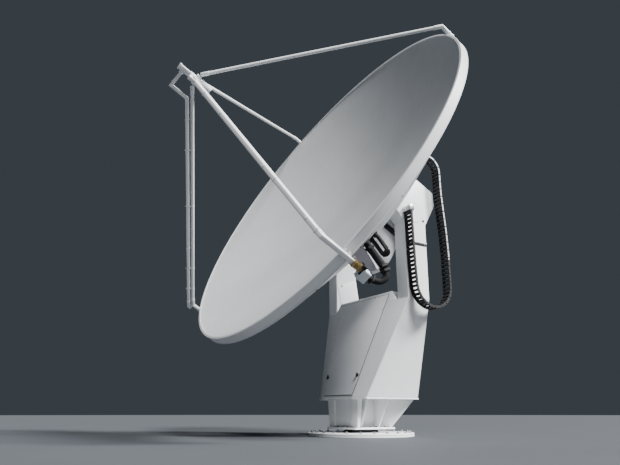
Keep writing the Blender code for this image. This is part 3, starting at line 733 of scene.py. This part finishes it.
strut_radius = 0.0205
foot_radius = 0.024
foot_reach = rim_radius + foot_radius + 0.0003
foot_low = -0.090
clamp_half = 0.009
clamp_reach = 0.030
clamp_heights = (-0.066, -0.018)
strut_feet = {"upper_right": (45, 0.092), "lower_left": (225, 0.092), "lower_right": (315, 0.205),
              "upper_left": (135, 0.092)}
strut_top = (0.078, 1.790)
for word, (degrees, foot_high) in strut_feet.items():
    clock = math.radians(degrees)
    outward = dish_way(clock, 1, 0)
    forward = dish_way(clock, 0, 1)
    rim_way = dish_way(clock + math.pi / 2, 1, 0)
    start = dish_point(foot_reach, clock, foot_high)
    end = dish_point(strut_top[0], clock, strut_top[1])
    along = (end - start).normalized()
    shape = bmesh.new()
    add_pipe(shape, [start, end], strut_radius, 28)
    add_pipe(shape, [start + along * reach for reach in (-0.012, 0.0, 0.090, 0.094)],
             [0.022, 0.0245, 0.0245, 0.0215], 28)
    add_pipe(shape, [end - along * reach for reach in (0.100, 0.096, 0.010, 0.0)],
             [0.0212, 0.0240, 0.0240, 0.0180], 28)
    piece("strut_tube_" + word, shape, white, "antenna", replaces=("strut_" + word,))

    low = dish_point(foot_reach, clock, foot_low)
    shape = bmesh.new()
    add_pipe(shape, [low, low + forward * 0.003, start - forward * 0.006, start + forward * 0.008],
             [foot_radius - 0.003, foot_radius, foot_radius, foot_radius - 0.006], 28)
    for height in clamp_heights:
        clamp = facing(dish_point(rim_radius, clock, height), forward, outward)
        add_block(shape, (-0.003, -0.042, -clamp_half), (clamp_reach, 0.042, clamp_half), clamp, 0.003)
        tube = moved(clamp, foot_radius, 0)
        add_turned(shape, disc(foot_radius + 0.006, -clamp_half, clamp_half), 28, tube)
    piece("strut_foot_tube_" + word, shape, white, "antenna", replaces=("strut_foot_" + word,))

    clamp_spots = [dish_point(rim_radius + clamp_reach, clock, height, aside)
                   for height in clamp_heights for aside in (-0.035, 0.035)]
    shape = bmesh.new()
    add_bolts(shape, clamp_spots, 0.007, outward)
    for way in (-rim_way, rim_way):
        cross_spots = [end - along * 0.040 + way * 0.0235, start + along * 0.050 + way * 0.024]
        add_bolts(shape, cross_spots, 0.007, way)
    piece("strut_bolts_" + word, shape, zinc, "antenna")


# Feed
# Where the struts meet, a turned aluminium hub with four lugs, a square tube in front of it that guides
# the waves, and a ribbed horn with a thin cap, which looks into the bowl. All of it painted white.
dressed("feed_hub", "antenna", white, 0.002)
dressed("feed_tube", "antenna", white, 0.004)
tube_turn = dish_place @ Matrix.Rotation(math.radians(45), 4, "Z")
flange_half = 0.004
shape = bmesh.new()
for w in (1.885, 2.023):
    add_slab(shape, (0.036, 0.036), w - flange_half, w + flange_half, tube_turn, 0.002)
    add_bolts(shape, corners(0.031, 0.031, w + flange_half), 0.004, place=tube_turn, index=1)
piece("feed_flanges", shape, [white, zinc], "antenna")
horn_low = 1.600
horn_high = 1.7547
horn_radius = 0.050
cap_high = horn_high - 0.014
cap_low = horn_high - 0.022
cap_radius = 0.053
rib_pitch = 0.022
rib_depth = 0.0022
profile = [(0.0, horn_high), (0.030, horn_high), (0.030, cap_high), (cap_radius, cap_high),
           (cap_radius, cap_low), (0.047, cap_low - 0.002)]
for step in range(5):
    top = horn_high - 0.030 - rib_pitch * step
    reach = 0.0465 + 0.0006 * step
    profile += [(reach, top), (reach + rib_depth, top - 0.002), (reach + rib_depth, top - 0.010),
                (reach, top - 0.012)]
profile += [(horn_radius, horn_low + 0.010), (horn_radius, horn_low + 0.002), (horn_radius - 0.002, horn_low),
            (0.0, horn_low)]
shape = bmesh.new()
add_turned(shape, profile, 56, dish_place)
add_bolts(shape, around(8, 0.0475, cap_low), 0.0035, DOWN, dish_place, index=1)
piece("ribbed_horn", shape, [white, zinc], "antenna", replaces=("feed_horn",))


# Waveguides
# Rectangular aluminium tubes with mitred bends, painted white, that run above the two lower struts.
# Flanges join their lengths, and small clips tie them to the struts.
drop_radius = 2.321
# For each: its clock angle, its height at the feed, both ends of its long run, and the radii of its clips.
guide_runs = {"left": (225, 1.970, (0.229, 1.750), (2.318, 0.127), (0.700, 1.245, 1.895, 2.120)),
              "right": (315, 1.858, (0.215, 1.780), (drop_radius, 0.243), (0.753, 1.514, 2.136))}
joint_radii = (0.420, 1.680, 2.265)
joint_half = 0.005
clip_half = 0.009
clip_side = 0.0225
for word, (degrees, feed_height, high, low, clip_radii) in guide_runs.items():
    clock = math.radians(degrees)
    rim_way = dish_way(clock + math.pi / 2, 1, 0)
    dressed("waveguide_" + word, "antenna", white, 0.002)
    high = Vector(high)
    low = Vector(low)
    slope = (low - high).normalized()
    slope_way = dish_way(clock, *slope)
    shape = bmesh.new()
    for radius in joint_radii:
        spot = high.lerp(low, (radius - high.x) / (low.x - high.x))
        place = facing(dish_point(spot.x, clock, spot.y), slope_way, rim_way)
        add_slab(shape, (0.026, 0.023), -joint_half, joint_half, place, 0.0015)
        add_bolts(shape, corners(0.023, 0.016, joint_half), 0.0026, place=place, index=1)
    first = facing(dish_point(0.046, clock, feed_height), dish_way(clock, 1, 0), rim_way)
    add_slab(shape, (0.030, 0.027), -joint_half, joint_half, first, 0.0015)
    bottom = Vector((foot_reach, strut_feet["lower_" + word][1]))
    top = Vector(strut_top)
    strut_slope = (bottom - top).normalized()
    for radius in clip_radii:
        spot = high.lerp(low, (radius - high.x) / (low.x - high.x))
        near = top + strut_slope * (spot - top).dot(strut_slope)
        place = facing(dish_point(spot.x, clock, spot.y), slope_way, dish_way(clock, *(near - spot)))
        add_slab(shape, (0.020, clip_side), -clip_half, clip_half, place, 0.002)
        add_block(shape, (-0.034, -0.012, -0.004), ((near - spot).length, 0.012, 0.004), place, 0.001)
        ring = facing(dish_point(near.x, clock, near.y), dish_way(clock, *strut_slope))
        add_turned(shape, disc(clip_side, -clip_half, clip_half), 28, ring)
        for way in (-1, 1):
            add_bolts(shape, [(0.004, way * clip_side, 0)], 0.004, (0, way, 0), place, index=1)
    piece("waveguide_fittings_" + word, shape, [white, zinc], "antenna")


# Tuner and filter
# Where the right waveguide drops behind the rim, a brass tuner with bare screws and knobs, then a grey
# painted filter box, with a black rubber seal and a clamp between them.
brass = clouded("bare_brass", "brass", ((0.66, 0.50, 0.24), (0.24, 0.17, 0.07)), (40.0, 4.0), (0.20, 0.55),
                metallic=1.0)
pale_grey = sprayed("pale_grey_paint", "grey_paint", (0.66, 0.72, 0.75), 0.38, 0.3)
drop_clock = math.radians(-45)
drop_way = dish_way(drop_clock, 0, 1)
tuner = facing(dish_point(drop_radius, drop_clock, 0.0), drop_way, dish_way(drop_clock, 1, 0))
tuner_top = -0.1153
tuner_end = -0.2150
plate_thick = 0.011
upper_under = tuner_top - plate_thick
lower_face = tuner_end + 0.013
body_x = 0.027
body_y = 0.024
knob = [(0, 0), (0.0037, 0), (0.0037, 0.008), (0.0067, 0.009), (0.0067, 0.0165), (0, 0.0165)]
shape = bmesh.new()
for face in (tuner_top, lower_face):
    add_slab(shape, (0.038, 0.034), face - plate_thick, face, tuner, 0.002)
add_slab(shape, (body_x, body_y), tuner_end + 0.012, tuner_top - 0.010, tuner, 0.002)
for step in range(3):
    w = tuner_top - 0.030 - 0.020 * step
    add_slab(shape, (0.033, 0.030), w - 0.003, w + 0.003, tuner, 0.001, 0, 1)
for w in (tuner_top - 0.040, tuner_top - 0.060):
    for aside in (-0.018, 0.0, 0.018):
        add_turned(shape, knob, 12, tuner @ facing((body_x, aside, w), (1, 0, 0)))
    for way in (-1, 1):
        add_turned(shape, knob, 12, tuner @ facing((0.0, way * body_y, w), (0, way, 0)))
for level, way in ((upper_under, DOWN), (lower_face, UP)):
    plate_spots = [(x, y, level) for x in (-0.032, 0.0, 0.032) for y in (-0.028, 0.028)]
    add_bolts(shape, plate_spots, 0.0048, way, tuner, index=1)
piece("brass_tuner", shape, [brass, zinc], "antenna", replaces=("waveguide_flange",))

filter_end = -0.310
filter_half = 0.0525
filter_face = 0.0465
filter_place = moved(tuner, 0, -0.032)
face_spots = [(filter_face, y, w) for w in (-0.240, -0.262, -0.285) for y in (-0.035, 0.035)]
shape = bmesh.new()
add_slab(shape, (0.045, filter_half), filter_end, tuner_end - 0.0003, filter_place, 0.004)
add_slab(shape, (filter_face, filter_half - 0.008), filter_end + 0.010, tuner_end - 0.012, filter_place,
         0.001, 0, 1)
add_bolts(shape, corners(0.036, filter_half - 0.010, filter_end), 0.0045, DOWN, filter_place, index=1)
add_bolts(shape, face_spots, 0.0035, (1, 0, 0), filter_place, index=1)
piece("filter_case", shape, [pale_grey, zinc], "antenna", replaces=("filter_box",))
shape = bmesh.new()
add_slab(shape, (0.046, 0.042), tuner_end - 0.008, tuner_end + 0.003, tuner, 0.001)
add_block(shape, (0.012, 0.018, tuner_end - 0.018), (0.056, 0.050, tuner_end + 0.018), tuner, 0.003)
add_block(shape, (-0.050, 0.026, tuner_end - 0.014), (-0.016, 0.048, tuner_end + 0.010), tuner, 0.002)
piece("tuner_seal", shape, rubber, "antenna")


# Gear on the skirt
# A slanted cabinet of grey sheet, a flexible waveguide in a ribbed rubber jacket between two flanged
# ends with an elbow block, and a loop of black hose. All stand on the back of the skirt.
violet_grey = sprayed("cabinet_paint", "grey_paint", (0.48, 0.46, 0.52), 0.40, 0.4)
dressed("gear_cabinet", "antenna", violet_grey, 0.006, 3)
cabinet = skirt_place(-42.5, 2.100)
cabinet_face = -0.135
shape = bmesh.new()
for x, z in ((-0.010, 0.03), (-0.020, 0.11), (-0.045, 0.19), (-0.085, 0.175), (-0.070, 0.190)):
    add_bolts(shape, [(x, cabinet_face, z)], 0.005, (0, -1, 0), cabinet)
add_block(shape, (-0.105, -0.150, 0.0), (0.045, -0.012, 0.006), cabinet, 0.002)
piece("cabinet_fixings", shape, zinc, "antenna")


def vectors(*spots):
    """Points that sums work on."""
    return [Vector(spot) for spot in spots]


def smooth_run(spots, steps):
    """A smooth curve through a few points."""
    ends = [spots[0] * 2 - spots[1]] + spots + [spots[-1] * 2 - spots[-2]]
    run = []
    for before, here, there, after in zip(ends, ends[1:], ends[2:], ends[3:]):
        for step in range(steps):
            part = step / steps
            bend = here * 2 + (there - before) * part
            bend += (before * 2 - here * 5 + there * 4 - after) * part ** 2
            bend += (here * 3 - before - there * 3 + after) * part ** 3
            run.append(bend / 2)
    return run + [spots[-1]]


def arc(centre, radius, start, turn, steps):
    """Points of a flat arc that starts at an angle and turns by another."""
    angles = [start + turn * step / steps for step in range(steps + 1)]
    return [Vector(centre) + on_circle(radius, angle).xy for angle in angles]


def walk(run, distance):
    """The point and the direction of a run at a distance from its start."""
    for here, there in zip(run, run[1:]):
        length = (there - here).length
        if distance <= length:
            return here.lerp(there, distance / length), (there - here) / length
        distance -= length
    return run[-1], (run[-1] - run[-2]).normalized()


def run_length(run):
    return sum((there - here).length for here, there in zip(run, run[1:]))


def add_ribbed(shape, run, radius, pitch, depth):
    """A hose with round ribs along a run."""
    spots = []
    radii = []
    for step in range(int(run_length(run) / pitch)):
        for part, reach in ((0.0, radius - depth), (0.25, radius), (0.65, radius), (0.90, radius - depth)):
            spots.append(walk(run, pitch * (step + part))[0])
            radii.append(reach)
    add_pipe(shape, spots, radii)


flex_start = dish_point(drop_radius, drop_clock, filter_end, -0.014)
near = [cabinet.inverted() @ (flex_start - drop_way * reach) for reach in (0.0, 0.045)]
bend = near + vectors((-0.088, 0.088, 0.322), (-0.034, 0.052, 0.340), (0.010, 0.030, 0.296))
stem = vectors((0.022, 0.022, 0.262), (0.036, -0.012, 0.165), (0.050, -0.036, 0.060))
elbow = vectors((0.050, -0.036, 0.060), (0.060, -0.040, 0.034), (0.064, -0.040, 0.002))
flange_side = (0.7, 0.7, 0.0)
shape = bmesh.new()
add_ribbed(shape, [cabinet @ spot for spot in smooth_run(bend, 6)], 0.029, 0.010, 0.003)
add_ribbed(shape, [cabinet @ spot for spot in smooth_run(stem, 6)], 0.033, 0.006, 0.0014)
add_pipe(shape, [cabinet @ spot for spot in smooth_run(elbow, 4)], 0.034, 24)
flanges = ((near[0], near[1] - near[0], 0.008), (near[1], near[1] - near[0], 0.008),
           (bend[-1], stem[0] - bend[-1], 0.012), (stem[0], stem[1] - stem[0], 0.010),
           (elbow[0], elbow[1] - elbow[0], 0.010), ((0.064, -0.040, 0.004), DOWN, 0.008))
for spot, way, half in flanges:
    place = cabinet @ facing(spot, way, flange_side)
    add_slab(shape, (0.036, 0.032), -half, half, place, 0.003)
    add_bolts(shape, corners(0.030, 0.026, half), 0.005, place=place)
piece("flexible_guide", shape, rubber, "antenna", replaces=("flexible_waveguide",))
shape = bmesh.new()
for (spot, way, half), aside in ((flanges[0], 0.034), (flanges[2], -0.036)):
    place = cabinet @ facing(spot, way, flange_side)
    add_bolts(shape, [(aside, 0.0, 0.0)], 0.008, (aside, 0, 0), place, stud=0.003)
piece("guide_fixings", shape, zinc, "antenna")

hose_place = skirt_place(-37.5, 1.920)
hose_apart = 0.056
hose_middle = -0.040
hose_lean = -0.030
hose_top = 0.178
hose_socket = [(0, 0), (0.034, 0), (0.034, 0.010), (0.026, 0.014), (0.024, 0.030), (0, 0.030)]
shape = bmesh.new()
for row, radius in ((0.0, 0.019), (0.034, 0.013), (-0.030, 0.010)):
    reach = hose_apart / 2 + radius * 0.1
    left = hose_middle - reach
    right = hose_middle + reach
    arch = arc((hose_middle + hose_lean, hose_top - abs(row) * 0.8), reach, math.pi, -math.pi, 8)
    loop = vectors((left, row * 0.6, 0.001), (left, row * 0.7, 0.050), *((x, row, z) for x, z in arch),
                   (right, row * 0.7, 0.050), (right, row * 0.6, 0.001))
    add_pipe(shape, [hose_place @ spot for spot in smooth_run(loop, 3)], radius, 18)
for side in (-1, 1):
    add_turned(shape, hose_socket, 24, moved(hose_place, hose_middle + side * hose_apart / 2, 0))
piece("hose_loop", shape, rubber, "antenna", replaces=("gear_hoses",))


# Cable chain
# Black nylon links, each of two side plates and two cross bars with round pins between them. The side
# plates are a slightly lighter nylon, a painted sheen. The chain hangs in a loop beside the right arm and
# thin leads run in it. A pale strip on the upper part of its far run is a painted highlight of the key
# light on the side plates.
chain_x = 0.837
chain_half = 0.060
chain_height = 0.0318
chain_pitch = 0.047
curl_centre = Vector((0.431, 3.003))
curl_radius = 0.175
route = vectors((0.124, 2.430), (0.128, 2.100), (0.135, 1.800))
route += arc((0.400, 1.604), 0.254, math.pi, math.pi, 24)
route += vectors((0.656, 1.950), (0.645, 2.250), (0.618, 2.580), (0.606, 2.750), (0.606, 2.900))
route += arc(curl_centre, curl_radius, 0.0, math.pi / 2, 12)
route.append(Vector((0.3135, curl_centre.y + curl_radius)))
nylon = clouded("black_nylon", "black_plastic", ((0.006, 0.006, 0.007), (0.016, 0.016, 0.018)),
                (50.0, 3.0), (0.50, 0.70), specular=0.25)
# Painted sheen: the side plates take this slightly lighter nylon.
sheen_nylon = clouded("sheen_nylon", "black_plastic", ((0.010, 0.010, 0.011), (0.030, 0.030, 0.032)),
                     (35.0, 4.0), (0.50, 0.70), specular=0.25)
# Painted highlight: a pale strip on the upper far run where the key light catches the side plates.
painted_highlight = clouded("painted_highlight", "bright_steel", ((0.70, 0.70, 0.71), (0.55, 0.55, 0.56)),
                      (40.0, 3.0), (0.30, 0.50), metallic=0.3)
link_count = round(run_length(route) / chain_pitch)
link_step = run_length(route) / link_count


def chain_place(distance):
    """A placing on the chain at a distance from its fixed end: X along it, Z across the fork."""
    spot, along = walk(route, distance)
    return Matrix(((0, 0, 1, chain_x), (along.x, -along.y, 0, spot.x), (along.y, along.x, 0, spot.y),
                   (0, 0, 0, 1)))


link_reach = link_step * 0.5 - 0.001
deep = chain_height / 2
side_plate = 0.013
bar_half = 0.0125
bar_thick = 0.006
bar_reach = chain_half - 0.014
lug_middle = chain_half - 0.019
lug_face = deep + 0.0004
pin = [(0, 0), (0.009, 0), (0.009, 0.0010), (0.007, 0.0018), (0, 0.0018)]
shape = bmesh.new()
for number in range(link_count):
    place = chain_place(link_step * (number + 0.5))
    for side in (-1, 1):
        outer = side * (chain_half - 0.001 - 0.0015 * (number % 2))
        add_slab(shape, (link_reach, deep), outer - side * side_plate, outer, place, 0.0025, 1, 1)
        add_turned(shape, pin, 14, place @ facing((-link_reach, 0, outer), (0, 0, side)))
    for level in (-1, 1):
        under = level * (deep - bar_thick)
        add_block(shape, (-bar_half, level * deep, -bar_reach), (bar_half, under, bar_reach),
                  place, 0.0015, 0, 1)
        for middle in (-lug_middle, lug_middle):
            add_block(shape, (-0.008, level * lug_face, middle - 0.004), (0.008, under, middle + 0.004),
                      place, 0.001, 0, 1)
# The pale strip below is a painted highlight, laid only on the upper part of the far run.
strip_half = 0.009
strip_low = chain_half - 0.001
strip_high = chain_half - 0.0001
strip_section = ((-strip_half, strip_low), (strip_half, strip_low), (strip_half, strip_high),
                 (-strip_half, strip_high))
strip = []
for number in range(link_count * 2 + 1):
    place = chain_place(link_step * number / 2)
    if place.translation.y > 0.2 and place.translation.z > 1.9:
        strip.append([shape.verts.new(place @ Vector((0, level, depth))) for level, depth in strip_section])
for low, high in zip(strip, strip[1:]):
    add_band(shape, low, high, 2)
for end in (strip[0], strip[-1]):
    shape.faces.new(end).material_index = 2
chain = piece("cable_chain", shape, [nylon, sheen_nylon, painted_highlight], None,
              replaces=("energy_chain", "chain_end"))
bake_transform(chain)
lead_step = 0.03
lead_spots = [walk(route, lead_step * step)[0] for step in range(int(run_length(route) / lead_step) + 1)]
shape = bmesh.new()
for offset, radius in ((-0.039, 0.0065), (-0.025, 0.0055), (0.036, 0.004)):
    add_pipe(shape, [(chain_x + offset, *spot) for spot in lead_spots], radius, 10)
leads = piece("chain_leads", shape, rubber, None)
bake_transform(leads)


# Chain ends
# A folded zinc plated bracket holds the fixed end on the arm, and the moving end is screwed to a white
# welded block on the back frame.
bracket_low, bracket_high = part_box("chain_bracket")
fold = 0.030
fold_z = 2.472
outline = [(bracket_high.y, fold_z + fold)]
outline += arc((bracket_low.y + fold, fold_z), fold, math.pi / 2, math.pi / 2, 6)
outline += [(bracket_low.y, bracket_low.z), (bracket_high.y, bracket_low.z)]
bracket_place = Matrix.Translation(((bracket_low.x + bracket_high.x) / 2, 0, 0)) @ side_on
shape = bmesh.new()
add_prism(shape, outline, bracket_high.x - bracket_low.x, bracket_place, 0.002)
anchor_spots = [(chain_x + x, bracket_low.y, fold_z - 0.020) for x in (-0.035, 0.0, 0.035)]
add_bolts(shape, anchor_spots, 0.007, (0, -1, 0))
piece("chain_anchor", shape, zinc, "turret", replaces=("chain_bracket",))
end_deep = deep + 0.001
end_half = chain_half - 0.002
shape = bmesh.new()
add_block(shape, (-0.012, -end_deep, -end_half), (0.030, end_deep, end_half), chain_place(0.010), 0.003)
piece("chain_first_link", shape, nylon, "turret")
dressed("chain_carrier", "antenna", white, 0.004)
last_place = chain_place(run_length(route) - 0.015)
shape = bmesh.new()
add_block(shape, (-0.030, -end_deep, -end_half), (0.012, end_deep, end_half), last_place, 0.003)
piece("chain_last_link", shape, nylon, "antenna")


# Floor and light
# A plain floor, kept dim so that it doesn't light the shaded sides too much. A key light stands behind
# the radar on its right, and a softer one high on its right lights the bowl.
floor_radius = 60.0
pale = clouded("pale_floor", "white_paint", ((0.052, 0.058, 0.066), (0.058, 0.065, 0.074)),
               (0.8, 2.0), (0.65, 0.75))
shape = bmesh.new()
add_turned(shape, disc(floor_radius, -0.02, 0.0), 64)
mesh = bpy.data.meshes.new("floor")
shape.to_mesh(mesh)
shape.free()
mesh.materials.append(pale.material)
floor = bpy.data.objects.new("floor", mesh)
bpy.context.scene.collection.objects.link(floor)

world = bpy.data.worlds.new("studio")
world.use_nodes = True
backdrop = world.node_tree.nodes["Background"]
backdrop.inputs["Color"].default_value = (0.62, 0.75, 0.90, 1.0)
backdrop.inputs["Strength"].default_value = 0.07
bpy.context.scene.world = world


def add_lamp(name, towards, softness, power):
    """A soft far light, in a direction from the radar."""
    data = bpy.data.lights.new(name, "SUN")
    data.angle = math.radians(softness)
    data.energy = power
    lamp = bpy.data.objects.new(name, data)
    lamp.rotation_euler = (-Vector(towards)).to_track_quat("-Z", "Y").to_euler()
    bpy.context.scene.collection.objects.link(lamp)


add_lamp("key_light", (0.52, 0.52, 0.67), 12.0, 8.5)
add_lamp("top_light", (0.64, 0.01, 0.768), 16.0, 5.4)
